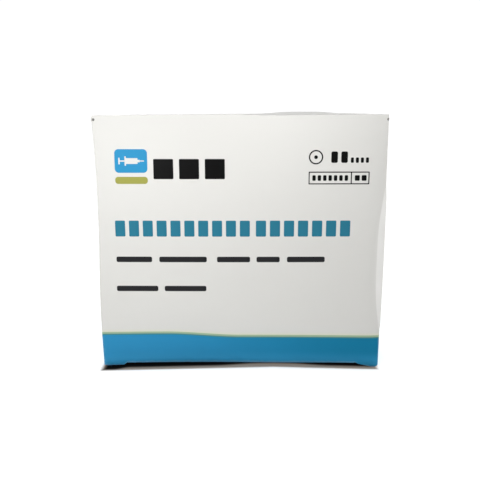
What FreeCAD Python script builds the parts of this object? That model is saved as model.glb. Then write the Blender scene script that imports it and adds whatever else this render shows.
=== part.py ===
import FreeCAD, Part
import math
import os

from FreeCAD import Vector

# Driving dimensions of the folding carton, in millimetres
width = 212.0            # across the printed front, over the board
depth = 168.0            # front to back, over the board
height = 191.0           # floor to the top face of the lid at its edges
board = 0.5              # thickness of the coated boxboard
crease = 0.9             # length that a fold takes off each wall at a vertical corner

# Gentle bulges of the four walls and the two front edges at mid height
front_bulge = 1.0
side_bulge = 2.4
back_bulge = 1.0
edge_bow = 0.8           # front vertical edges, outwards
front_pinch = 5.5        # bottom edge of the front wall, drawn inwards at mid width
back_pinch = 2.5
pinch_height = 75.0      # the drawn-in stretch fades out at this height

# Crushed stretch of the right front edge: a lens-shaped facet between two creases
crush_low = 27.0
crush_length = 109.0
crush_on_front = 4.6     # how far its front crease lies in from the edge
crush_on_side = 4.0      # how far its side crease lies back from the edge

# Lid with its tuck flap
lid_side_gap = 0.6       # lid edge to the outside of the side walls
lid_gap = 0.3            # running gap under the lid and round its tuck flap
crown = 1.0              # rise of the lid panel along its middle
bump = 1.6               # further rise where the lid is pushed up from inside
bump_place = 38.0        # right of the middle
bump_reach = 46.0        # half length of that rise
tuck_length = 21.0
tuck_inset = 5.0         # tuck flap's end to the lid's side edge, at the crease
tuck_corner = 13.0
slit_length = 14.0       # lock slit between lid and tuck flap at each end
slit_width = 0.8
hinge_gap = 0.2          # between the lid's rear edge and the rear wall
lid_bend = 1.1           # size of the rounded crease between lid and tuck flap

# Dust flaps, folded in under the lid
dust_length = 72.0
dust_shoulder = 16.0     # straight locking shoulder next to the tuck flap
dust_step = 4.0
dust_taper = 17.0
dust_corner = 9.0
relief = 3.0             # small notch at each end of a dust flap's crease
relief_drop = 3.2

# Interlocking bottom flaps
ply_gap = 0.15           # between flaps that lie on each other
foot = 15.0              # uncreased wall left at each end of the bottom edges
foot_slant = 3.0
front_lift = 3.4         # bottom crease of the front wall above the floor, by the feet
lift_low_place = 25.0    # where that crease comes down, right of the middle
fold_run = 17.0          # front flap from its crease down to the floor
fold_radius = 0.4        # outside of the folds of the other bottom flaps and the dust flaps
tongue_width = 88.0
tongue_reach = 34.0      # past the middle of the bottom, inside the back flap
tongue_taper = 6.0
step_start = -20.0       # where the tongue starts to climb through the notch
step_run = 24.0
notch_gap = 2.0          # tongue to the sides of the notch
back_flap_reach = 18.0   # past the middle of the bottom, towards the front
side_flap_taper = 13.0
flap_corner = 5.0

# Glue seam inside the left wall
seam_width = 17.0
seam_end = 7.0           # its ends stop short of the creases
seam_taper = 8.0

wall_steps = 6           # even spaces between the sections of the walls
crush_steps = 6
crease_share = 0.8       # how much less a fold takes off inside, for each board thickness

half_width = width / 2
half_depth = depth / 2
ply = board + ply_gap
side_level = ply
back_level = 2 * ply
tongue_level = 3 * ply
dust_top = height - board - lid_gap
hinge_y = half_depth - board / 2
hinge_z = height - board / 2
beyond = 4.0             # how far cutting tools pass the faces that they cut
nearly = 0.02            # tolerance on the heights of edges that are looked up


def crushed(share):
    """How open the facet on the right front edge is at this share of its length."""
    return 1 - abs(2 * share - 1) ** 3


def bezier(*poles):
    curve = Part.BezierCurve()
    curve.setPoles([Vector(*pole) for pole in poles])
    return curve.toShape()


def wall_outline(z, inset):
    """The four walls in plan at height z, drawn in from the outside by inset."""
    up = min(1.0, max(0.0, z / height))
    belly = 4 * up * (1 - up)
    drawn = max(0.0, 1 - max(0.0, z) / pinch_height) ** 2
    spread = edge_bow * belly
    corners = [
        Vector(-half_width - spread + inset, -half_depth + inset, z),
        Vector(half_width + spread - inset, -half_depth + inset, z),
        Vector(half_width - inset, half_depth - inset, z),
        Vector(-half_width + inset, half_depth - inset, z),
    ]
    sags = [
        front_bulge * belly - front_pinch * drawn,
        side_bulge * belly,
        back_bulge * belly - back_pinch * drawn,
        side_bulge * belly,
    ]
    cut = crease - inset * crease_share
    starts, ends, walls = [], [], []
    for index in range(4):
        here, there = corners[index], corners[(index + 1) % 4]
        along = (there - here).normalize()
        outwards = Vector(along.y, -along.x, 0)
        start = here + along * cut
        end = there - along * cut
        starts.append(start)
        ends.append(end)
        walls.append(bezier(start, (start + end) * 0.5 + outwards * (2 * sags[index]), end))
    edges = []
    for index in range(4):
        following = (index + 1) % 4
        edges.append(walls[index])
        edges.append(bezier(ends[index], corners[following], starts[following]))
    return Part.Wire(edges)


def crush_wedge(inset):
    """What the crushed stretch takes off the right front edge."""
    along = Vector(crush_on_front, crush_on_side, 0).normalize()
    outwards = Vector(along.y, -along.x, 0)
    wires = []
    for step in range(crush_steps + 1):
        share = step / crush_steps
        z = crush_low + crush_length * share
        up = z / height
        corner = Vector(half_width + edge_bow * 4 * up * (1 - up), -half_depth, z)
        on_facet = corner - Vector(crush_on_front * crushed(share), 0, 0) - outwards * inset
        reach = along * (2 * (crush_on_front + crush_on_side))
        points = [on_facet - reach, on_facet + reach, on_facet + outwards * width / 8]
        wires.append(Part.makePolygon(points + points[:1]))
    return Part.makeLoft(wires, True)


def wall_block(inset):
    """The solid inside the walls' outline, past both ends of the carton."""
    rise = (height + 2 * beyond) / wall_steps
    heights = [-beyond + rise * step for step in range(wall_steps + 1)]
    block = Part.makeLoft([wall_outline(z, inset) for z in heights], True)
    return block.cut(crush_wedge(inset))


def flat_outline(corners, place):
    """A face from (u, v, radius) corners, with place(u, v) giving the point."""
    points = [place(u, v) for u, v, radius in corners]
    edges, starts, ends = [], [], []
    arcs = []
    for index, (u, v, radius) in enumerate(corners):
        here = points[index]
        back = (points[index - 1] - here).normalize()
        on = (points[(index + 1) % len(points)] - here).normalize()
        if radius == 0:
            starts.append(here)
            ends.append(here)
            arcs.append(None)
            continue
        half = back.getAngle(on) / 2
        reach = radius / math.tan(half)
        enter, leave = here + back * reach, here + on * reach
        centre = here + (back + on).normalize() * (radius / math.sin(half))
        crown_point = centre + (here - centre).normalize() * radius
        starts.append(enter)
        ends.append(leave)
        arcs.append(Part.Arc(enter, crown_point, leave).toShape())
    for index in range(len(points)):
        if arcs[index] is not None:
            edges.append(arcs[index])
        edges.append(Part.LineSegment(ends[index], starts[(index + 1) % len(points)]).toShape())
    return Part.Face(Part.Wire(edges))


def plan(u, v):
    return Vector(u, v, 0)


def mirrored(corners, side):
    """The same corners on the right (side 1) or left (side -1) of the carton."""
    return [(side * u, v, radius) for u, v, radius in corners]


def plate(corners, level):
    """A piece of flat board with this outline in plan and its underside at level."""
    face = flat_outline(corners, plan)
    face.translate(Vector(0, 0, level))
    return face.extrude(Vector(0, 0, board))


def box(x0, x1, y0, y1, z0, z1):
    return Part.makeBox(x1 - x0, y1 - y0, z1 - z0, Vector(x0, y0, z0))


def front_lift_at(x):
    """Height of the front wall's bottom crease above the floor."""
    end = math.copysign(half_width - foot - foot_slant, x - lift_low_place)
    share = (x - lift_low_place) / (end - lift_low_place)
    return front_lift * min(1.0, max(0.0, share)) ** 1.4


def front_crease_y(x):
    """Where the bottom crease of the front wall lies, drawn in at mid width."""
    return -half_depth + front_pinch * (1 - (x / half_width) ** 2)


def crease_stations():
    reach = half_width - foot - foot_slant
    shares = [-1.0, -0.7, -0.35, 0.0]
    left = [lift_low_place - (lift_low_place + reach) * -share for share in shares]
    right = [lift_low_place + (reach - lift_low_place) * share for share in (0.35, 0.7, 1.0)]
    return left + right


def across(profile_at, stations):
    """A ruled solid through one closed front-to-back profile at each place in x."""
    wires = []
    for x in stations:
        points = [Vector(x, y, z) for y, z in profile_at(x)]
        wires.append(Part.makePolygon(points + points[:1]))
    return Part.makeLoft(wires, True, True)


def front_flap(outside):
    """Bottom flap of the front wall, with the tongue that locks over the back flap."""
    tongue_end = tongue_reach + beyond

    def profile(x):
        lift = front_lift_at(x)
        under = [
            (-half_depth - beyond, lift),
            (front_crease_y(x), lift),
            (-half_depth + fold_run, 0.0),
            (step_start, 0.0),
            (step_start + step_run, tongue_level),
            (tongue_end, tongue_level),
        ]
        return under + [(y, z + board) for y, z in reversed(under)]

    reach = half_width - foot - foot_slant
    tongue = tongue_width / 2
    outline = [
        (-reach, -half_depth - beyond / 2, 0),
        (reach, -half_depth - beyond / 2, 0),
        (reach, -half_depth + fold_run, 0),
        (tongue + 2 * flap_corner, step_start - flap_corner, flap_corner),
        (tongue, step_start + flap_corner, flap_corner),
        (tongue - tongue_taper, tongue_reach, flap_corner),
    ]
    corners = outline + mirrored(outline[:1:-1], -1)
    column = flat_outline(corners, plan).extrude(Vector(0, 0, height / 4))
    column.translate(Vector(0, 0, -beyond))
    return across(profile, crease_stations()).common(column).common(outside)


def back_flap(outside):
    """Bottom flap of the rear wall, with the notch that takes the tongue."""
    reach = half_width - foot - foot_slant
    notch = tongue_width / 2 + notch_gap
    corners = [
        (reach, half_depth + beyond / 2, 0),
        (reach - flap_corner, -back_flap_reach, flap_corner),
        (notch + flap_corner, -back_flap_reach, flap_corner),
        (notch, step_start + step_run + notch_gap, flap_corner / 2),
    ]
    both = corners + mirrored(reversed(corners), -1)
    return plate(both, back_level).common(outside)


def side_flap(outside, side):
    """Hooked bottom flap of a side wall: long in front, cut away beside the tongue."""
    reach = half_depth - relief
    ear = half_width - foot + ply_gap
    clear = tongue_width / 2 + notch_gap
    corners = [
        (half_width + beyond / 2, -reach, 0),
        (ear, -reach, 2.0),
        (ear, -half_depth + fold_run + ply_gap, 2.0),
        (side_flap_taper, -half_depth + fold_run + side_flap_taper, flap_corner),
        (side_flap_taper, step_start - flap_corner, flap_corner),
        (clear, step_start - flap_corner, flap_corner / 2),
        (clear + flap_corner, back_flap_reach, flap_corner),
        (ear, reach - foot, 2.0),
        (ear, reach, 2.0),
        (half_width + beyond / 2, reach, 0),
    ]
    return plate(mirrored(corners, side), side_level).common(outside)


def tuck_sweep():
    """How near the rear crease the tuck flap's inner face passes as the lid swings."""
    top = 2 * half_depth - 2 * board - lid_gap - board / 2
    tip = top - tuck_lean()
    return min(top, math.hypot(tip, tuck_length), math.hypot((top + tip) / 2, tuck_length / 2))


def tuck_lean():
    """How far the tuck flap leans in, so that its tip swings clear of the front wall."""
    span = depth - 1.5 * board - lid_gap
    return span - math.sqrt(span**2 - tuck_length**2) + lid_gap


def dust_flap(outside, side):
    """Flap folded in under the lid from the top of a side wall."""
    front = hinge_y - tuck_sweep() + lid_gap
    corners = [
        (half_width + beyond / 2, front, 0),
        (half_width - dust_shoulder, front, 1.0),
        (half_width - dust_shoulder - dust_step, front + dust_step, 1.0),
        (half_width - dust_length, front + dust_taper, dust_corner),
        (half_width - dust_length, half_depth - dust_taper, dust_corner),
        (half_width - crease, half_depth - relief - board, 0),
        (half_width + beyond / 2, half_depth - relief - board, 0),
    ]
    return plate(mirrored(corners, side), dust_top - board).common(outside)


def glue_seam():
    """The strip of board that joins the blank, inside the left wall."""
    near = half_depth - board
    far = near - seam_width

    def place(u, v):
        return Vector(-half_width - beyond, u, v)

    low, high = seam_end + tongue_level, dust_top - seam_end
    corners = [
        (near, low, 0),
        (near, high, 0),
        (far, high - seam_taper, 2.0),
        (far, low + seam_taper, 2.0),
    ]
    strip = flat_outline(corners, place).extrude(Vector(2 * beyond, 0, 0))
    layer = wall_block(board).cut(wall_block(2 * board))
    return strip.common(layer)


def wall_cuts():
    """What is cut from the walls: their edges under the lid and over the floor."""
    cuts = [
        box(-width, width, half_depth - beyond, half_depth + beyond,
            hinge_z - board / 2 - hinge_gap, height + 2 * beyond),
    ]
    for side in (-1, 1):
        inner, outer = sorted((side * (half_width - beyond), side * (half_width + beyond)))
        cuts.append(box(inner, outer, -half_depth + crease, half_depth + beyond,
                        dust_top, height + 2 * beyond))
        cuts.append(box(inner, outer, -half_depth + crease, -half_depth + relief,
                        height - relief_drop, height + beyond))
        cuts.append(box(inner, outer, half_depth - relief, half_depth + beyond,
                        height - relief_drop, height + beyond))

        def side_place(u, v, start=inner):
            return Vector(start, u, v)

        run = half_depth - relief
        face = flat_outline([(-run, -beyond, 0), (-run, side_level, 0),
                             (run, side_level, 0), (run, -beyond, 0)], side_place)
        cuts.append(face.extrude(Vector(2 * beyond, 0, 0)))

    def back_place(u, v):
        return Vector(u, half_depth - 2 * beyond, v)

    run = half_width - foot
    face = flat_outline([(-run, -beyond, 0), (-run, 0, 0), (-run + foot_slant, back_level, 0),
                         (run - foot_slant, back_level, 0), (run, 0, 0), (run, -beyond, 0)],
                        back_place)
    cuts.append(face.extrude(Vector(0, 3 * beyond, 0)))

    def under_front(x):
        lift = 0.0 if abs(x) > half_width - foot - foot_slant / 2 else front_lift_at(x)
        return [
            (-half_depth - 2 * beyond, -beyond),
            (-half_depth - 2 * beyond, lift),
            (front_crease_y(x), lift),
            (-half_depth + fold_run, 0.0),
            (-half_depth + fold_run, -beyond),
        ]

    ends = half_width - foot
    cuts.append(across(under_front, [-ends] + crease_stations() + [ends]))
    return cuts


def rolled_folds(body):
    """Rounds the outside of the folds from the side walls and the rear wall to their flaps."""
    side_run = half_depth - relief + nearly
    back_run = half_width - foot + nearly

    def on_fold(point):
        over_side = abs(point.x) - half_width
        over_back = point.y - half_depth + back_pinch * (1 - (point.x / half_width) ** 2)
        by_side = min(abs(point.z - side_level), abs(point.z - dust_top)) < nearly
        by_back = abs(point.z - back_level) < nearly
        return (by_side and abs(over_side) < board and abs(point.y) < side_run
                or by_back and abs(over_back) < board and abs(point.x) < back_run)

    folds = []
    for edge in body.Edges:
        places = edge.discretize(3)
        if edge.Length > half_depth and all(on_fold(point) for point in places):
            folds.append(edge)
    return body.makeFillet(fold_radius, folds)


def carton_body():
    outside = wall_block(0.0)
    walls = outside.cut(wall_block(board))
    walls = walls.common(box(-width, width, -depth, depth, 0, height))
    for cut in wall_cuts():
        walls = walls.cut(cut)
    flaps = [front_flap(outside), back_flap(outside)]
    for side in (-1, 1):
        flaps.append(side_flap(outside, side))
        flaps.append(dust_flap(outside, side))
    flaps.append(glue_seam())
    return rolled_folds(walls.fuse(flaps).removeSplitter())


def lid_profile(x):
    """Front-to-back section of the lid and its tuck flap at one place in x."""
    place = max(0.0, 1 - ((x - bump_place) / bump_reach) ** 2)
    edge = max(0.0, 1 - (x / (half_width - lid_side_gap)) ** 2)
    rise = 2 * (crown * edge + bump * place**2)
    front = -half_depth + board + lid_gap
    tip = front + tuck_lean()
    bend = lid_bend
    inner_bend = bend - board
    low = height - tuck_length
    middle = (hinge_y + front) / 2
    top, under = height, height - board
    lean = tuck_lean() * bend / tuck_length
    points = {
        "rear top": (hinge_y, top),
        "bend top": (front + bend, top),
        "bend low": (front + lean, top - bend),
        "tip out": (tip, low),
        "tip in": (tip + board, low),
        "inner low": (front + board + lean, top - bend),
        "inner top": (front + board + inner_bend, under),
        "rear under": (hinge_y, under),
    }
    p = {name: (x, y, z) for name, (y, z) in points.items()}
    edges = [
        bezier(p["rear top"], (x, middle, top + rise), p["bend top"]),
        bezier(p["bend top"], (x, front, top), p["bend low"]),
        bezier(p["bend low"], p["tip out"]),
        bezier(p["tip out"], p["tip in"]),
        bezier(p["tip in"], p["inner low"]),
        bezier(p["inner low"], (x, front + board, under), p["inner top"]),
        bezier(p["inner top"], (x, middle, under + rise), p["rear under"]),
        bezier(p["rear under"], (x, hinge_y + board, hinge_z), p["rear top"]),
    ]
    return Part.Wire(edges)


def lid_panel():
    """The lid with its tuck flap, hinged on the rear top crease."""
    reach = half_width - lid_side_gap
    shares = (-1.0, -0.75, -0.45, -0.15)
    stations = [share * reach for share in shares]
    stations += [bump_place - bump_reach / 2, bump_place, bump_place + bump_reach / 2]
    stations += [(bump_place + bump_reach + reach) / 2, reach]
    lid = Part.makeLoft([lid_profile(x) for x in stations], True)
    front = -half_depth - beyond

    def upright(u, v):
        return Vector(u, front, v)

    top = height - lid_bend
    tuck = reach - tuck_inset
    corners = [
        (-tuck, top + beyond, 0),
        (-tuck + 2.0, height - tuck_length, tuck_corner),
        (tuck - 2.0, height - tuck_length, tuck_corner),
        (tuck, top + beyond, 0),
    ]
    kept = flat_outline(corners, upright).extrude(Vector(0, depth / 4, 0))
    below = box(-width, width, front, front + depth / 4, height - 2 * tuck_length, top)
    lid = lid.cut(below.cut(kept))
    for side in (-1, 1):
        inner, outer = sorted((side * (reach - tuck_inset - slit_length), side * width))
        lid = lid.cut(box(inner, outer, front, front + depth / 4, top - slit_width, top))
    return lid


os.makedirs("parts", exist_ok=True)
for name, shape in (("carton_body", carton_body()), ("lid_panel", lid_panel())):
    shape.exportStep("parts/" + name + ".step")
    bounds = shape.BoundBox
    print(name, shape.isValid(), len(shape.Solids), round(shape.Volume, 1),
          [round(value, 2) for value in (bounds.XMin, bounds.XMax, bounds.YMin,
                                         bounds.YMax, bounds.ZMin, bounds.ZMax)])
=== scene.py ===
import math

import bmesh
import bpy
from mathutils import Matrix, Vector, noise


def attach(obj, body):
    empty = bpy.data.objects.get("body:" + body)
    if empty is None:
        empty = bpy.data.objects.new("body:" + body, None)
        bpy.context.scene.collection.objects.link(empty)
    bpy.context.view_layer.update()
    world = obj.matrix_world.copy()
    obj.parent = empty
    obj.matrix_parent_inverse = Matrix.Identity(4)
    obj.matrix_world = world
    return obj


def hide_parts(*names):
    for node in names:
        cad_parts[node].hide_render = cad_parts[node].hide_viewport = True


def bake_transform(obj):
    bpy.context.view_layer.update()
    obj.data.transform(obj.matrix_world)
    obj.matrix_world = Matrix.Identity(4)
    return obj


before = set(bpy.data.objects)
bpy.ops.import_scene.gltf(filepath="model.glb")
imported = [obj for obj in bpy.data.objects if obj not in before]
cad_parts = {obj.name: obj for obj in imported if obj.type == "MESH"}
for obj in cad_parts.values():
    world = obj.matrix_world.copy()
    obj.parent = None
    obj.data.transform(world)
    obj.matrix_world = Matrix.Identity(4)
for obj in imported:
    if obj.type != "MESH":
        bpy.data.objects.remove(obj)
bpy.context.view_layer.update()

# Folded carton
# One sheet of coated boxboard, creased, wrapped round and glued along one edge. Its walls
# bulge a little, its front right edge is crushed, and its bottom flaps lock into each other.
mm = 0.001
width, depth, height = 212 * mm, 168 * mm, 191 * mm
board = 0.5 * mm
ply = 0.65 * mm
fold = 0.9 * mm
half_width, half_depth = width / 2, depth / 2


def steps(low, high, gap):
    """Even places from low to high, about gap apart."""
    count = max(1, round((high - low) / gap))
    return [low + (high - low) * index / count for index in range(count + 1)]


def slice_across(axis, places):
    """Cuts the whole mesh in edit mode with planes across one axis."""
    normal = [0, 0, 0]
    normal[axis] = 1
    for place in places:
        bpy.ops.mesh.select_all(action="SELECT")
        point = [0, 0, 0]
        point[axis] = place
        bpy.ops.mesh.bisect(plane_co=point, plane_no=normal)


def pick(kind, test):
    """Selects the edges or faces in edit mode whose middle and normal pass the test."""
    mesh = bpy.context.object.data
    sheet = bmesh.from_edit_mesh(mesh)
    bpy.ops.mesh.select_all(action="DESELECT")
    bpy.ops.mesh.select_mode(type="EDGE" if kind == "edges" else "FACE")
    for item in getattr(sheet, kind):
        if kind == "edges":
            middle = (item.verts[0].co + item.verts[1].co) / 2
            chosen = test(item, middle)
        else:
            chosen = test(item, item.calc_center_median())
        if chosen:
            item.select_set(True)
    sheet.select_flush_mode()
    bmesh.update_edit_mesh(mesh)


def selected_span(axis):
    """The lowest and highest place along one axis of what is selected in edit mode."""
    sheet = bmesh.from_edit_mesh(bpy.context.object.data)
    values = [v.co[axis] for v in sheet.verts if v.select]
    return min(values), max(values)


def pull_edge(along, reach_axis, reach, level, low, high):
    """Extrudes the selected edges to one straight line of board.

    The line lies at reach on reach_axis and at height level, and runs from low to high.
    """
    bpy.ops.mesh.extrude_region_move(TRANSFORM_OT_translate={"value": (0, 0, 0)})
    now_low, now_high = selected_span(along)
    stretch = (high - low) / (now_high - now_low)
    size = [0, 0, 0]
    size[along] = stretch
    centre = [0, 0, level]
    centre[reach_axis] = reach
    centre[along] = (now_low + now_high) / 2
    bpy.ops.transform.resize(value=size, center_override=centre)
    shift = [0, 0, 0]
    shift[along] = (low + high) / 2 - centre[along]
    bpy.ops.transform.translate(value=shift)


def roll_fold(reach_axis, sign, drop, from_level=False):
    """Rolls the selected edges round a quarter turn, towards sign, and down or up by drop."""
    turns = 4
    for turn in range(turns):
        old, new = math.pi / 2 * turn / turns, math.pi / 2 * (turn + 1) / turns
        first, second = math.sin(new) - math.sin(old), math.cos(old) - math.cos(new)
        if from_level:
            first, second = second, first
        shift = [0, 0, drop * first]
        shift[reach_axis] = sign * abs(drop) * second
        bpy.ops.mesh.extrude_region_move(TRANSFORM_OT_translate={"value": shift})


def pull_flap(along, reach_axis, outline):
    """Pulls a flap out of the selected edges through (reach, level, low, high) lines."""
    for reach, level, low, high in outline:
        pull_edge(along, reach_axis, reach, level, low, high)


def rounded_end(reach, sign, radius, low, high, slope_low=0.0, slope_high=0.0, turns=5):
    """Last lines of a flap with round corners: it ends at reach, going in direction sign."""
    lines = []
    for turn in range(1, turns + 1):
        angle = math.pi / 2 * turn / turns
        back = radius * (1 - math.sin(angle))
        inset = radius * (1 - math.cos(angle))
        lines.append((reach - sign * back, low + slope_low + inset, high - slope_high - inset))
    return lines


# Bulges, dents and lifted feet
front_bulge, side_bulge, back_bulge, edge_bow = 1.0 * mm, 2.36 * mm, 1.0 * mm, 0.8 * mm
left_sway, twist, crinkle = 1.2 * mm, 0.65 * mm, 0.5 * mm
front_pinch, back_pinch, pinch_height = 5.5 * mm, 2.5 * mm, 75 * mm
crush_low, crush_length = 27 * mm, 114 * mm
crush_on_front, crush_on_side, crush_bow = 6.4 * mm, 4.6 * mm, 1.6 * mm
curl, curl_reach = 1.9 * mm, 13 * mm
wear_and_highlight_reach = 2.4 * mm
lift_place, low_lift, end_lift, lift_reach = 25 * mm, 1.35 * mm, 1.1 * mm, 14 * mm
foot, foot_slant, relief = 15 * mm, 3 * mm, 3 * mm
foot_corner, foot_curl, foot_lift = 3 * mm, 10 * mm, 1.1 * mm
front_end = half_width - foot - foot_slant
high_edge, high_edge_end = 1.0 * mm, 14 * mm
roll = 0.7 * mm


def crush_open(z):
    """How open the crush of the front right edge is at height z, from 0 to 1."""
    share = (z - crush_low) / crush_length
    return 0.0 if share <= 0 or share >= 1 else 1 - abs(2 * share - 1) ** 3


def front_lift_at(x):
    """Height of the front wall's bottom crease above the table."""
    end = math.copysign(front_end, x - lift_place)
    share = (x - lift_place) / (end - lift_place)
    return low_lift + end_lift * min(1.0, max(0.0, share)) ** 1.4


def top_rise(x):
    """How far the front wall's top edge stands above the lid, on its left part."""
    return high_edge * min(1.0, max(0.0, 1 - x / high_edge_end))


def foot_rise(x, y):
    """How far a foot stands off the table: the front left one all over, the right one inside."""
    if y > 0:
        return 0.0
    outer = max(0.0, 1 - (half_width - abs(x)) / foot_corner)
    if x < 0:
        return foot_lift + 0.6 * mm * outer ** 2
    inner = min(1.0, max(0.0, 1 - (x - front_end - foot_slant) / foot_curl))
    return 0.02 * mm + 1.9 * mm * inner ** 1.2 + 1.8 * mm * outer ** 2


def fold_wear_and_highlight(point):
    """How close a point of the straight carton lies to a fold, from 0 to 1 on it; its material uses
    this for ink rubbing off and for a painted highlight.
    """
    x, y, z = point
    from_side, from_end = half_width - abs(x), half_depth - abs(y)
    fold_level = roll + (front_lift_at(x) if y < 0 and abs(x) < front_end else 0.0)
    from_corner = math.hypot(max(0.0, from_side), max(0.0, from_end))
    from_floor = math.hypot(max(0.0, min(from_side, from_end)), z - fold_level)
    return max(0.0, 1 - min(from_corner, from_floor) / wear_and_highlight_reach)


def twisted(x, z):
    """The carton is a little out of square: its right side rises and its left side sinks."""
    return twist * x / half_width * (z / height) ** 2


def crushed(point):
    """How deep inside the crushed edge a point of the straight carton lies, 1 on the edge."""
    x, y, z = point
    opening = crush_open(z)
    if opening < 0.1:
        return 0.0
    on_front = 1 - (half_width - x) / (crush_on_front * opening)
    on_side = 1 - (half_depth + y) / (crush_on_side * opening)
    return max(0.0, min(on_front, on_side))


def settle(point):
    """Where a point of the straight carton lies once its walls have bulged and dented."""
    x, y, z = point
    up = min(1.0, max(0.0, z / height))
    belly = 4 * up * (1 - up)
    drawn = max(0.0, 1 - max(0.0, z) / pinch_height) ** 2
    over_width = max(0.0, 1 - (x / half_width) ** 2)
    over_depth = max(0.0, 1 - (y / half_depth) ** 2)
    near_front = max(0.0, -y / half_depth) ** 8
    near_back = max(0.0, y / half_depth) ** 8
    near_side = abs(x / half_width) ** 8
    moved = Vector(point)
    moved.y -= near_front * over_width * (front_bulge * belly - front_pinch * drawn)
    moved.y += near_back * over_width * (back_bulge * belly - back_pinch * drawn)
    moved.x += math.copysign(near_side * over_depth * side_bulge * belly, x)
    if x > 0:
        outwards = edge_bow * belly
    else:
        wave = math.sin(2 * math.pi * up) * (1.0 if up < 0.5 else 0.45)
        outwards = left_sway * (wave - 0.25 * belly + up ** 5)
    moved.x += x / half_width * outwards * (half_depth - y) / depth
    by_edge = max(0.0, 1 - (half_width - x) / (20 * mm))
    moved.x += crush_bow * crush_open(z) * by_edge * ((half_depth - y) / depth) ** 8
    by_corner = max(0.0, 1 - math.hypot((x - half_width) / (30 * mm), (z - height) / (16 * mm)))
    moved.y -= near_front * crinkle * by_corner * abs(noise.noise(Vector(point) / (7 * mm)))
    moved.z += twisted(x, z)
    rolled = max(0.0, 1 - (half_width - x) / curl_reach) ** 2 * near_front
    moved.y += curl * rolled * min(1.0, 6 * up * (1 - up))
    opening = crush_open(z)
    if opening > 0 and x > 0 and y < 0:
        along = Vector((crush_on_front, crush_on_side, 0)).normalized()
        facing = Vector((along.y, -along.x, 0))
        corner = Vector((half_width + edge_bow * belly, -half_depth, z))
        on_facet = corner - Vector((crush_on_front * opening, 0, 0))
        over = (moved - on_facet).dot(facing)
        if over > -1 * mm:
            soft = 0.25 * mm
            moved -= facing * soft * math.log(1 + math.exp(over / soft))
    return moved


bpy.ops.object.select_all(action="DESELECT")
bpy.ops.mesh.primitive_cube_add(size=1, location=(0, 0, height / 2), scale=(width, depth, height))
carton = bpy.context.object
carton.name = "folded_carton"
bpy.ops.object.transform_apply(location=True, rotation=True, scale=True)
bpy.ops.object.mode_set(mode="EDIT")
pick("faces", lambda face, middle: abs(face.normal.z) > 0.9)
bpy.ops.mesh.delete(type="FACE")
pick("edges", lambda edge, middle: abs(edge.verts[0].co.z - edge.verts[1].co.z) > height / 2)
bpy.ops.mesh.bevel(offset=fold, segments=4, profile=0.5, affect="EDGES")

# Lines where the walls meet their flaps
notch_depth = 3.2 * mm
dust_top = height - 0.8 * mm
back_top = height - 3 * mm
side_end = half_depth - relief
tongue_half, notch_half = 44 * mm, 46 * mm

across_x = steps(-half_width + fold, -front_end, 3 * mm)[1:] + [-half_width + foot]
across_x += steps(-front_end, front_end, 4 * mm)[1:] + [half_width - foot, notch_half, -notch_half]
across_x += steps(front_end, 98 * mm, 3 * mm)[1:] + steps(98 * mm, half_width - fold, 0.6 * mm)[:-1]
slice_across(0, across_x)
fine_front = steps(-half_depth + fold, -half_depth + 8 * mm, 0.6 * mm)[1:]
across_y = fine_front + steps(-half_depth + 8 * mm, half_depth - fold, 4 * mm)[1:-1]
across_y += [-side_end, side_end, side_end + 0.5 * mm]
slice_across(1, across_y)
up_z = steps(0, crush_low, 3 * mm)[1:] + steps(crush_low, crush_low + crush_length, 2 * mm)[1:]
up_z += steps(crush_low + crush_length, height - 18 * mm, 4 * mm)[1:]
up_z += steps(height - 18 * mm, height - notch_depth, 2 * mm)[1:] + [back_top, height - 1.5 * mm]
slice_across(2, up_z)

# The rear wall and the side walls stop lower than the front wall
pick("faces", lambda face, middle: middle.z > back_top and middle.y > half_depth - fold)
bpy.ops.mesh.delete(type="FACE")
sheet = bmesh.from_edit_mesh(carton.data)
for vertex in sheet.verts:
    place = vertex.co
    on_front, on_back = place.y < -half_depth + 0.01 * mm, place.y > half_depth - 0.01 * mm
    on_side = abs(place.x) > half_width - 0.01 * mm
    over_flap = abs(place.x) <= front_end + 0.01 * mm
    if on_front and over_flap and place.z < lift_reach:
        crease = front_lift_at(place.x) + roll
        place.z = crease + place.z * (1 - crease / lift_reach)
    elif place.z < 0.01 * mm:
        if on_back and over_flap:
            place.z = 2 * ply + roll
        elif on_side and abs(place.y) <= side_end + 0.01 * mm:
            place.z = ply + roll
        else:
            place.z = foot_rise(place.x, place.y)
    if place.z > height - 0.01 * mm and on_front:
        place.z = height + top_rise(place.x)
    elif place.z > height - 0.01 * mm and on_side and place.y < side_end + 0.01 * mm:
        notched = place.y < -side_end - 0.01 * mm and place.y > -half_depth + fold + 0.01 * mm
        place.z = height - notch_depth if notched else dust_top - roll
        if abs(place.y + half_depth - fold) < 0.01 * mm:
            place.z = height
bmesh.update_edit_mesh(carton.data)

# Front bottom flap with its tongue
fold_run = 17 * mm
tongue_reach, tongue_taper = 34 * mm, 6 * mm
step_start, step_run = -20 * mm, 24 * mm
flat, tongue_level = 0.02 * mm, 3 * ply


def floor_edge(edge, middle, level):
    """Whether an edge lies at the foot of a wall, below this level."""
    level_edge = abs(edge.verts[0].co.z - edge.verts[1].co.z) < 0.6 * mm
    return edge.is_boundary and level_edge and middle.z < level


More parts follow.
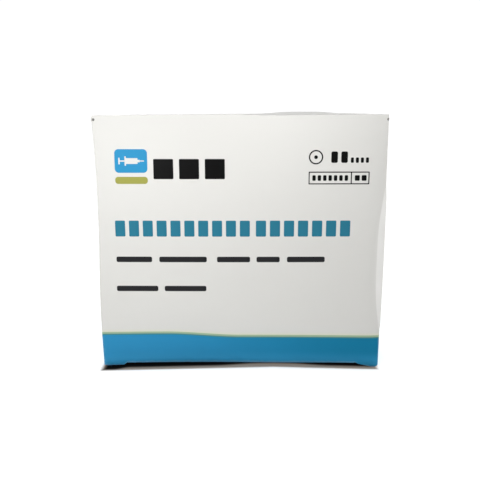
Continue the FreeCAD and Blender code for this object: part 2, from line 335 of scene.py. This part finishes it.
pick("edges", lambda edge, middle: floor_edge(edge, middle, lift_reach / 2)
     and middle.y < -half_depth + 0.01 * mm and abs(middle.x) < front_end)
roll_fold(1, 1, -roll)
y0 = -half_depth
front_outline = [
    (y0 + fold_run * 0.35, 1.3 * mm, -front_end, front_end),
    (y0 + fold_run * 0.7, 0.3 * mm, -front_end, front_end),
    (y0 + fold_run, flat, -front_end, front_end),
    (step_start - 7 * mm, flat, -tongue_half - 13 * mm, tongue_half + 13 * mm),
    (step_start - 3 * mm, flat, -tongue_half - 6 * mm, tongue_half + 6 * mm),
    (step_start, flat, -tongue_half - 2.5 * mm, tongue_half + 2.5 * mm),
    (step_start + 5 * mm, 0.2 * tongue_level, -tongue_half, tongue_half),
    (step_start + step_run, tongue_level, -tongue_half + 2.6 * mm, tongue_half - 2.6 * mm),
]
front_outline += [(reach, tongue_level, low, high) for reach, low, high in rounded_end(
    tongue_reach, 1, 5 * mm, -tongue_half + tongue_taper, tongue_half - tongue_taper)]
pull_flap(0, 1, front_outline)

# Back bottom flap with the notch for the tongue
pick("edges", lambda edge, middle: floor_edge(edge, middle, 3 * mm)
     and middle.y > half_depth - 0.01 * mm and abs(middle.x) < front_end)
roll_fold(1, -1, -roll)
notch_top = step_start + step_run + 2 * mm
back_lines = steps(half_depth - 4 * mm, notch_top, 12 * mm)
back_outline = [(y, 2 * ply, -front_end, front_end) for y in back_lines]
pull_flap(0, 1, back_outline)
for side in (-1, 1):
    pick("edges", lambda edge, middle: edge.is_boundary and abs(middle.y - notch_top) < 0.1 * mm
         and side * middle.x > notch_half and abs(middle.z - 2 * ply) < 0.1 * mm)
    ends = sorted((side * notch_half, side * front_end))
    shoulder = [(y, 2 * ply, ends[0], ends[1]) for y in (0.0, -10 * mm)]
    shoulder += [(reach, 2 * ply, low, high) for reach, low, high in rounded_end(
        -18 * mm, -1, 5 * mm, ends[0], ends[1])]
    pull_flap(0, 1, shoulder)

# Side bottom flaps, hooked beside the tongue
ear = half_width - foot + 0.15 * mm
for side in (-1, 1):
    pick("edges", lambda edge, middle: floor_edge(edge, middle, 3 * mm)
         and side * middle.x > half_width - 0.01 * mm and abs(middle.y) < side_end)
    roll_fold(0, -side, -roll)
    front_y = -half_depth + fold_run
    hooked = [
        (side * (half_width - 5 * mm), ply, -side_end, side_end),
        (side * (ear + 0.4 * mm), ply, -side_end, side_end),
        (side * (ear - 0.2 * mm), ply, front_y, side_end - foot),
        (side * 78 * mm, ply, front_y + 2 * mm, 51 * mm),
        (side * 60 * mm, ply, front_y + 5 * mm, 28.5 * mm),
        (side * 53 * mm, ply, front_y + 6 * mm, 19 * mm),
        (side * 49 * mm, ply, front_y + 6.6 * mm, 6 * mm),
        (side * 46.5 * mm, ply, front_y + 7 * mm, -19 * mm),
        (side * 46 * mm, ply, front_y + 7 * mm, -25 * mm),
        (side * 30 * mm, ply, front_y + 10 * mm, -25 * mm),
    ]
    hooked += [(reach, ply, low, high) for reach, low, high in rounded_end(
        side * 13 * mm, -side, 5 * mm, front_y + 12 * mm, -25 * mm)]
    pull_flap(1, 0, hooked)

# Dust flaps under the lid
for side in (-1, 1):
    pick("edges", lambda edge, middle: edge.is_boundary and abs(middle.z - dust_top + roll) < 0.05 * mm
         and side * middle.x > half_width - 0.01 * mm and abs(middle.y) < side_end)
    roll_fold(0, -side, roll)
    lip = -half_depth + 2.1 * mm
    tapered = [
        (side * (half_width - 1.5 * mm), dust_top, lip, side_end - 0.5 * mm),
        (side * 98 * mm, dust_top, lip, 79.2 * mm),
        (side * 90 * mm, dust_top, lip, 77.6 * mm),
        (side * 86 * mm, dust_top, lip + 4 * mm, 76.8 * mm),
        (side * 68 * mm, dust_top, lip + 8.3 * mm, 73.4 * mm),
        (side * 50 * mm, dust_top, lip + 13 * mm, 70 * mm),
    ]
    tapered += [(reach, dust_top, low, high) for reach, low, high in rounded_end(
        side * 34 * mm, -side, 9 * mm, lip + 17 * mm, 67 * mm)]
    pull_flap(1, 0, tapered)

bpy.ops.object.mode_set(mode="OBJECT")

# Fold marks for rubbing and a painted highlight, and how crushed the board is, kept for its material,
# and then the dents
worn_and_highlit = carton.data.attributes.new("fold_wear_and_highlight", "FLOAT", "POINT")
creased = carton.data.attributes.new("crushed", "FLOAT", "POINT")
for vertex in carton.data.vertices:
    worn_and_highlit.data[vertex.index].value = fold_wear_and_highlight(vertex.co)
    creased.data[vertex.index].value = crushed(vertex.co)
    vertex.co = settle(vertex.co)

# The glued strip inside the left wall, next to the rear fold
seam_rear, seam_front = half_depth - 0.8 * mm, half_depth - 17.5 * mm
seam_low, seam_high, seam_taper = 9 * mm, 183 * mm, 8 * mm
bpy.ops.object.select_all(action="DESELECT")
bpy.ops.mesh.primitive_plane_add(size=1, rotation=(0, -math.pi / 2, 0))
seam = bpy.context.object
seam.scale = (seam_high - seam_low, seam_rear - seam_front, 1)
seam.location = (-half_width, (seam_rear + seam_front) / 2, (seam_low + seam_high) / 2)
bpy.ops.object.transform_apply(location=True, rotation=True, scale=True)
bpy.ops.object.mode_set(mode="EDIT")
slice_across(1, steps(seam_front, seam_rear, 3 * mm)[1:-1])
slice_across(2, steps(seam_low, seam_high, 6 * mm)[1:-1])
bpy.ops.object.mode_set(mode="OBJECT")
for vertex in seam.data.vertices:
    straight = vertex.co.copy()
    back = min(1.0, max(0.0, (seam_rear - straight.y) / (seam_rear - seam_front)))
    middle = (seam_low + seam_high) / 2
    straight.z = middle + (straight.z - middle) * (1 - 2 * seam_taper * back / (seam_high - seam_low))
    vertex.co = settle(straight) + Vector((board, 0, 0))
bpy.ops.object.select_all(action="DESELECT")
seam.select_set(True)
carton.select_set(True)
bpy.context.view_layer.objects.active = carton
bpy.ops.object.join()


def give_thickness(piece, board_materials):
    """Turns a sheet into board: printed outside, bare inside, cut edges round it."""
    bpy.ops.object.select_all(action="DESELECT")
    piece.select_set(True)
    bpy.context.view_layer.objects.active = piece
    for finish in board_materials:
        piece.data.materials.append(finish)
    skin = piece.modifiers.new("board", "SOLIDIFY")
    skin.thickness = board
    skin.offset = -1
    skin.material_offset = 1
    skin.material_offset_rim = 2
    bpy.ops.object.modifier_apply(modifier="board")
    bpy.ops.object.shade_smooth_by_angle(angle=math.radians(35))


class Wire:
    """A socket of a material's nodes, with the arithmetic that adds Math nodes to them."""

    def __init__(self, tree, socket=None):
        self.tree = tree
        self.socket = socket

    def node(self, kind, settings, links, output=0):
        """Adds any node: its settings first, then the values or links of its sockets."""
        made = self.tree.nodes.new(kind)
        for name, value in settings.items():
            setattr(made, name, value)
        for place, value in links.items():
            if isinstance(value, Wire):
                self.tree.links.new(value.socket, made.inputs[place])
            else:
                made.inputs[place].default_value = value
        return Wire(self.tree, made.outputs[output])

    def math(self, operation, *values):
        """Adds a Math node on these values or wires."""
        return self.node("ShaderNodeMath", {"operation": operation}, dict(enumerate(values)))

    def __add__(self, other):
        return self.math("ADD", self, other)

    def __sub__(self, other):
        return self.math("SUBTRACT", self, other)

    def __rsub__(self, other):
        return self.math("SUBTRACT", other, self)

    def __mul__(self, other):
        return self.math("MULTIPLY", self, other)

    def __truediv__(self, other):
        return self.math("DIVIDE", self, other)

    def __abs__(self):
        return self.math("ABSOLUTE", self)

    __radd__ = __add__
    __rmul__ = __mul__


def larger(first, *others):
    """The largest of some values, at every point."""
    for other in others:
        first = first.math("MAXIMUM", first, other)
    return first


def distance(along, across):
    """How far a point is that lies this far along and this far across."""
    squares = along * along + across * across
    return squares.math("SQRT", squares)


def ease(value, low, high, start=0.0, end=1.0):
    """Goes smoothly from start to end while value goes from low to high."""
    return value.node("ShaderNodeMapRange", {"interpolation_type": "SMOOTHSTEP"},
                      {0: value, 1: low, 2: high, 3: start, 4: end})


def inked(factor, under, over):
    """Colour under, covered by colour over as far as factor says."""
    return factor.node("ShaderNodeMix", {"data_type": "RGBA"}, {0: factor, 6: under, 7: over}, 2)


def mottle(place, size, detail=3.0):
    """Noise from 0 to 1 with blotches of about this size, in metres."""
    return place.node("ShaderNodeTexNoise", {}, {"Vector": place, "Scale": 1 / size, "Detail": detail})


def new_material(name):
    """An empty material, with its Principled shader and the Object coordinates."""
    material = bpy.data.materials.new(name)
    material.use_nodes = True
    start = Wire(material.node_tree)
    place = start.node("ShaderNodeTexCoord", {}, {}, "Object")
    return material, material.node_tree.nodes["Principled BSDF"], place


def finish_surface(shader, place, colour, roughness, grain):
    """Joins colour, roughness and grain (a height from 0 to 1) to the shader."""
    bump = grain.node("ShaderNodeBump", {}, {"Height": grain, "Strength": 0.35, "Distance": 0.0001})
    shader.inputs["Specular IOR Level"].default_value = 0.08
    for name, wire in (("Base Color", colour), ("Roughness", roughness), ("Normal", bump)):
        place.tree.links.new(wire.socket, shader.inputs[name])


white_coat = (0.74, 0.734, 0.705, 1)
cream_ink = (0.74, 0.74, 0.52, 1)
sage_ink = (0.36, 0.50, 0.32, 1)
deep_teal_ink = (0.05, 0.245, 0.27, 1)
# The second blue is the band's blue darkened by painted shade, for its right end.
blue_ink, blue_ink_painted_shade = (0.028, 0.285, 0.545, 1), (0.004, 0.205, 0.38, 1)
# A paler blue for painted light at the foot of the band.
blue_painted_light = (0.08, 0.52, 0.95, 1)
teal_ink = (0.026, 0.19, 0.285, 1)
olive_ink = (0.36, 0.36, 0.08, 1)
black_ink = (0.003, 0.003, 0.003, 1)
grey_ink = (0.02, 0.02, 0.022, 1)
# Grey for the painted shade in the gaps at the top front corners.
corner_gap_shade_grey = (0.16, 0.16, 0.15, 1)
# The first white is for the rubbed folds, with their painted highlight.
# The second white is for the crushed edge, with its painted light.
rubbed_and_highlight_white, crushed_and_lit_white = (0.74, 0.73, 0.70, 1), (0.84, 0.835, 0.81, 1)


def millimetres(place):
    """x, y and z of a place, in millimetres."""
    return [place.node("ShaderNodeSeparateXYZ", {}, {0: place}, axis) * 1000 for axis in "XYZ"]


def block(x, z, left, right, low, high, radius=0.6):
    """1 inside a rectangle with round corners, in millimetres, and 0 outside."""
    over_x = larger(abs(x - (left + right) / 2) - ((right - left) / 2 - radius), 0.0)
    over_z = larger(abs(z - (low + high) / 2) - ((high - low) / 2 - radius), 0.0)
    return ease(distance(over_x, over_z), radius + 0.12, radius - 0.12)


def tile_row(x, z, left, right, count, gap, low, high, radius=0.8):
    """A row of equal blocks from left to right, with this gap between them."""
    pitch = (right - left + gap) / count
    share = (x - left) / pitch
    along = share.math("FRACT", share) * pitch
    tiles = block(along, z, 0, pitch - gap, low, high, radius)
    return tiles * block(x, z, left - gap / 2, right + gap / 2, low - 1, high + 1)


def printed_badge(x, z, colour):
    """A blue tile with a plain white syringe on it, over an olive bar."""
    colour = inked(block(x, z, -91.5, -67.7, 150.3, 167.4, 3.0), colour, blue_ink)
    colour = inked(block(x, z, -91.5, -67.7, 142.2, 147.4, 2.2), colour, olive_ink)
    level = 158.85
    syringe = None
    for left, right, half_high in ((-88.7, -87.7, 2.4), (-88.0, -83.5, 0.45), (-84.2, -83.2, 3.4),
                                   (-83.6, -74.8, 2.1), (-75.0, -73.2, 0.9), (-73.4, -70.0, 0.35)):
        bar = block(x, z, left, right, level - half_high, level + half_high, 0.3)
        syringe = bar if syringe is None else larger(syringe, bar)
    return inked(syringe, colour, white_coat)


def printed_marks(x, z):
    """Small black shapes at the top right: a ring, two rows of tiles and a frame of two cells."""
    from_middle = distance(x - 54.4, z - 161.5)
    ring = ease(abs(from_middle - 4.7), 0.62, 0.38)
    dot = ease(from_middle, 1.5, 1.2)
    tiles = larger(tile_row(x, z, 65.4, 77.4, 2, 2.4, 157.4, 165.6, 1.2),
                   tile_row(x, z, 79.6, 92.7, 4, 1.4, 157.4, 161.3),
                   tile_row(x, z, 52.0, 78.0, 7, 1.4, 144.4, 148.5),
                   tile_row(x, z, 82.9, 91.5, 2, 1.4, 144.4, 148.5))
    line = 0.8
    cells = larger(block(x, z, 49.3 + line, 80.0, 141.8 + line, 151.1 - line, 0.2),
                   block(x, z, 80.0 + line, 93.6 - line, 141.8 + line, 151.1 - line, 0.2))
    frame_lines = block(x, z, 49.3, 93.6, 141.8, 151.1, 0.5) * (1 - cells)
    return larger(ring, dot, tiles, frame_lines)


def printed_rows(x, z):
    """Slim grey bars in two rows under the big tiles."""
    rows = None
    for left, right, level in ((-93.0, -66.3, 85.7), (-60.9, -25.4, 85.7), (-17.8, 6.9, 85.7),
                               (11.7, 29.0, 85.7), (34.4, 62.6, 85.7),
                               (-93.6, -62.3, 63.1), (-57.4, -26.0, 63.1)):
        bar = block(x, z, left, right, level - 2.1, level + 2.1, 1.2)
        rows = bar if rows is None else larger(rows, bar)
    return rows


def printed_board(name):
    """Coated board with its print: a blue band round the foot, a badge, and tiles and bars, with some
    light and shade painted in.
    """
    material, shader, place = new_material(name)
    x, y, z = millimetres(place)
    on_front = ease(y, -72, -74)
    from_side = half_width / mm - abs(x)
    from_wall = from_side.math("MINIMUM", from_side, half_depth / mm - abs(y))
    bare_flap = ease(from_wall, 10.0, 10.3) * ease(z, 8, 7)

    above = z - ease(x, -58, 0, 26.4, 23.5)
    # Painted shade: the band's blue darkens from left to right, as if the light fell off across the
    # front.
    band_ink_and_painted_light = inked(ease(x, -100, 100), blue_ink, blue_ink_painted_shade)
    # Painted light: the band's blue turns paler near its foot, making up for the shade there.
    band_ink_and_painted_light = inked(ease(z, 13, 2) * 0.35, band_ink_and_painted_light, blue_painted_light)
    colour = inked(ease(above, 4.6, 1.6) * 0.5, white_coat, cream_ink)
    colour = inked(ease(above, 2.2, 1.6), colour, sage_ink)
    colour = inked(ease(above, 0.7, 0.1), colour, deep_teal_ink)
    colour = inked(ease(above, -0.3, -0.9), colour, band_ink_and_painted_light)
    colour = inked(bare_flap, colour, white_coat)

    front = inked(larger(tile_row(x, z, -93.0, 6.7, 10, 2.8, 103.1, 115.1),
                         tile_row(x, z, 11.1, 80.8, 7, 2.8, 103.1, 115.1)), colour, teal_ink)
    front = inked(tile_row(x, z, -63.5, -11.5, 3, 4.2, 145.7, 160.3), front, black_ink)
    front = inked(printed_rows(x, z), front, grey_ink)
    front = inked(printed_marks(x, z), front, black_ink)
    front = printed_badge(x, z, front)
    colour = inked(on_front, colour, front)

    # Painted shade: small dark spots at both top corners of the front, where the gaps beside the lid
    # lie in shade.
    corner_gap_shade = ease(distance(abs(x) - 105.6, z - 188.3), 1.2, 0.7) * on_front
    colour = inked(corner_gap_shade, colour, corner_gap_shade_grey)
    fold_rub_and_highlight = place.node("ShaderNodeAttribute", {"attribute_name": "fold_wear_and_highlight"}, {}, "Fac")
    rubbed_and_highlit = ease(fold_rub_and_highlight * (0.4 + mottle(place, 2.2 * mm)), 0.35, 0.75)
    # Partly painted highlight: the folds turn lighter, as ink rubbed off and as the rolled folds
    # catching the light.
    colour = inked(rubbed_and_highlit * 0.12, colour, rubbed_and_highlight_white)
    crush_and_light = place.node("ShaderNodeAttribute", {"attribute_name": "crushed"}, {}, "Fac")
    # Partly painted light: the crushed edge turns whiter, as cracked coating and as its facet lit from
    # the right.
    colour = inked(ease(crush_and_light, 0.0, 0.2), colour, crushed_and_lit_white)
    fibre = mottle(place, 0.9 * mm)
    cloud = mottle(place, 30 * mm)
    roughness = 0.36 + 0.12 * fibre + 0.10 * rubbed_and_highlit
    finish_surface(shader, place, colour, roughness, 0.55 * fibre + 0.45 * cloud)
    return material


def bare_board(name, light, dark):
    """Uncoated board with its fibres."""
    material, shader, place = new_material(name)
    fibre = mottle(place, 0.7 * mm, 6.0)
    colour = inked(ease(fibre, 0.3, 0.7), dark, light)
    finish_surface(shader, place, colour, 0.78 + 0.12 * fibre, fibre)
    return material


carton_print = printed_board("printed_board_outside")
board_inside = bare_board("board_inside", (0.62, 0.60, 0.55, 1), (0.54, 0.52, 0.47, 1))
board_edge = bare_board("board_cut_edge", (0.70, 0.68, 0.62, 1), (0.58, 0.56, 0.50, 1))
give_thickness(carton, (carton_print, board_inside, board_edge))
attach(carton, "carton")
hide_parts("carton_body")

# Tuck lid
# The top panel of the same sheet, hinged on the crease of the rear wall. Its end folds down
# as a tuck flap with round corners, and the slits beside it lock on the dust flaps.
lid_half = half_width - 0.6 * mm
lid_bend, hinge_roll = 1.1 * mm, 0.9 * mm
tuck_front = -half_depth + board + 0.3 * mm
tuck_length, tuck_lean, tuck_corner = 21 * mm, 1.63 * mm, 13 * mm
tuck_half = lid_half - 5 * mm
slit_end, slit_width = tuck_half - 14 * mm, 0.8 * mm
crown, bump, bump_place = 0.65 * mm, 1.65 * mm, 53 * mm
bump_left, bump_right = 38 * mm, 33 * mm
knob, knob_place, knob_reach = 0.35 * mm, 95 * mm, 11 * mm
panel_front, panel_rear = tuck_front + lid_bend, half_depth - hinge_roll


def tuck_y(z):
    """Where the leaning tuck flap lies at height z."""
    return tuck_front + tuck_lean * (height - z) / tuck_length


bpy.ops.object.select_all(action="DESELECT")
bpy.ops.mesh.primitive_plane_add(size=1, location=(0, (panel_front + panel_rear) / 2, height))
lid = bpy.context.object
lid.name = "tuck_lid"
lid.scale = (2 * lid_half, panel_rear - panel_front, 1)
bpy.ops.object.transform_apply(location=True, rotation=True, scale=True)
bpy.ops.object.mode_set(mode="EDIT")
slice_across(0, steps(-slit_end, slit_end, 4 * mm) + [-tuck_half, tuck_half])
slice_across(1, steps(panel_front, panel_rear, 6 * mm)[1:-1])
for row in bmesh.from_edit_mesh(lid.data).verts:
    share = (row.co.y - panel_front) / (panel_rear - panel_front)
    bump_reach = bump_left if row.co.x < bump_place else bump_right
    pushed = max(0.0, 1 - abs((row.co.x - bump_place) / bump_reach) ** 3)
    dented = max(0.0, 1 - ((row.co.x - knob_place) / knob_reach) ** 2)
    rise = crown * (1 - (row.co.x / lid_half) ** 2) + bump * pushed ** 2 + knob * dented ** 2
    row.co.z += 4 * share * (1 - share) * rise
bmesh.update_edit_mesh(lid.data)

pick("edges", lambda edge, middle: edge.is_boundary and middle.y < panel_front + 0.01 * mm)
roll_fold(1, -1, -lid_bend, from_level=True)
slit_level = height - lid_bend
pick("edges", lambda edge, middle: edge.is_boundary and abs(middle.z - slit_level) < 0.01 * mm
     and abs(middle.x) < slit_end)
tuck_lines = [
    (slit_level - slit_width, -slit_end, slit_end),
    (slit_level - slit_width - 0.1 * mm, -tuck_half, tuck_half),
    (height - tuck_length + tuck_corner + 2 * mm, -tuck_half + 0.6 * mm, tuck_half - 0.6 * mm),
]
tuck_lines += rounded_end(height - tuck_length, -1, tuck_corner, -tuck_half + 1.5 * mm,
                          tuck_half - 1.5 * mm, turns=9)
pull_flap(0, 1, [(tuck_y(z), z, low, high) for z, low, high in tuck_lines])
pick("edges", lambda edge, middle: edge.is_boundary and middle.y > panel_rear - 0.01 * mm)
roll_fold(1, 1, -hinge_roll, from_level=True)
pull_flap(0, 1, [(half_depth, z, -lid_half, lid_half) for z in (height - 1.9 * mm, back_top)])
bpy.ops.object.mode_set(mode="OBJECT")
# The lid's folds get the same mark: rubbed ink and a painted highlight.
worn_and_highlit = lid.data.attributes.new("fold_wear_and_highlight", "FLOAT", "POINT")
for vertex in lid.data.vertices:
    fold_distance = min(abs(vertex.co.y - panel_front), abs(vertex.co.y - panel_rear))
    worn_and_highlit.data[vertex.index].value = max(0.0, 1 - fold_distance / wear_and_highlight_reach)
    if vertex.co.y > half_depth - 0.01 * mm:
        vertex.co = settle(vertex.co)
    else:
        vertex.co.z += twisted(vertex.co.x, vertex.co.z)
give_thickness(lid, (carton_print, board_inside, board_edge))
panel_rear - 0.2 * mm
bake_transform(lid)
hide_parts("lid_panel")

# Table, light and camera
# A white table that glows faintly, with a round white screen that only the camera sees. The
# room is bright behind the carton and dim before it. Two small lamps shine on the front, one
# hangs over the lid, and a spot stands on the right.
bpy.ops.object.select_all(action="DESELECT")
bpy.ops.mesh.primitive_plane_add(size=6, location=(0, 0, 0))
table = bpy.context.object
table.name = "table"
table_top, table_shader, table_place = new_material("white_table")
table_x, table_y = millimetres(table_place)[:2]
table_shader.inputs["Roughness"].default_value = 0.7
table_shader.inputs["Specular IOR Level"].default_value = 0.0
table_shader.inputs["Emission Strength"].default_value = 0.65

# Shade on the table under the carton, deepest below the lifted front wall
from_lift = abs(table_x - lift_place / mm)
past_front = -1 * table_y - half_depth / mm - 0.2 - 0.058 * from_lift
past_side = abs(table_x + 1) - half_width / mm
past_wall = larger(past_front, past_side, table_y - half_depth / mm)
from_core = past_wall + ease(from_lift, 10, 45, 3.0, 0.0) - ease(table_x, -86, -98, 0.0, 3.5)
dark, dim = (0.003, 0.003, 0.003, 1), (0.22, 0.19, 0.165, 1)
table_white, glow_white = (0.88, 0.88, 0.88, 1), (1, 1, 1, 1)
for socket, under in (("Base Color", table_white), ("Emission Color", glow_white)):
    tone = inked(ease(from_core, -7.5, -2.5), dark, dim)
    tone = inked(ease(past_wall, -2.0, 2.4), tone, under)
    table_place.tree.links.new(tone.socket, table_shader.inputs[socket])
table.data.materials.append(table_top)

bpy.ops.object.select_all(action="DESELECT")
bpy.ops.mesh.primitive_cylinder_add(vertices=96, radius=2.9, depth=6, end_fill_type="NOTHING")
screen = bpy.context.object
screen.name = "white_screen"
screen_white, screen_shader = new_material("white_screen")[:2]
screen_shader.inputs["Base Color"].default_value = (0, 0, 0, 1)
screen_shader.inputs["Specular IOR Level"].default_value = 0.0
screen_shader.inputs["Emission Color"].default_value = (1, 1, 1, 1)
screen_shader.inputs["Emission Strength"].default_value = 1.05
screen.data.materials.append(screen_white)
for rays in ("visible_diffuse", "visible_glossy", "visible_transmission", "visible_shadow"):
    setattr(screen, rays, False)

scene = bpy.context.scene
studio = bpy.data.worlds.new("studio")
studio.use_nodes = True
room = Wire(studio.node_tree)
direction = room.node("ShaderNodeTexCoord", {}, {}, "Generated")
ahead = room.node("ShaderNodeSeparateXYZ", {}, {0: direction}, "Y")
up = room.node("ShaderNodeSeparateXYZ", {}, {0: direction}, "Z")
room_light = studio.node_tree.nodes["Background"]
overhead = ease(up, 0.35, 0.75)
brightness = 1.6 * ease(ahead, -0.10, 0.0) * (1 - overhead) + 0.3 * overhead
studio.node_tree.links.new(brightness.socket, room_light.inputs["Strength"])
room_light.inputs["Color"].default_value = (1, 1, 1, 1)
scene.world = studio
scene.view_settings.view_transform = "Standard"


def soft_lamp(name, kind, place, size, power):
    """A small round lamp that the camera does not see."""
    bulb = bpy.data.lights.new(name, kind)
    bulb.shadow_soft_size = size
    bulb.energy = power
    lamp = bpy.data.objects.new(name, bulb)
    lamp.location = place
    lamp.visible_camera = False
    scene.collection.objects.link(lamp)
    return lamp


soft_lamp("lamp_front_left", "POINT", (-0.114, -0.241, 0.18), 0.03, 0.505)
soft_lamp("lamp_front_right", "POINT", (0.035, -0.201, 0.223), 0.03, 0.246)
soft_lamp("lamp_over_lid", "POINT", (0.0, 0.0, 0.90), 0.08, 3.2)
side_lamp = soft_lamp("lamp_right", "SPOT", (0.95, 0.02, 0.12), 0.05, 7.0)
towards_side = Vector((half_width, 0, height / 2)) - side_lamp.location
side_lamp.rotation_euler = towards_side.to_track_quat("-Z", "Y").to_euler()
side_lamp.data.spot_size = math.radians(24)
side_lamp.data.spot_blend = 0.5

focal_px, image_px, sensor = 628, 480, 36
eye = bpy.data.cameras.new("camera")
eye.sensor_width = sensor
eye.lens = sensor * focal_px / image_px
eye.clip_start = 0.01
camera = bpy.data.objects.new("camera", eye)
camera.location = (2.0 * mm, -540.8 * mm, 195.3 * mm)
camera.rotation_euler = (math.radians(90 - 11.74), math.radians(0.08), math.radians(0.31))
scene.collection.objects.link(camera)
scene.camera = camera
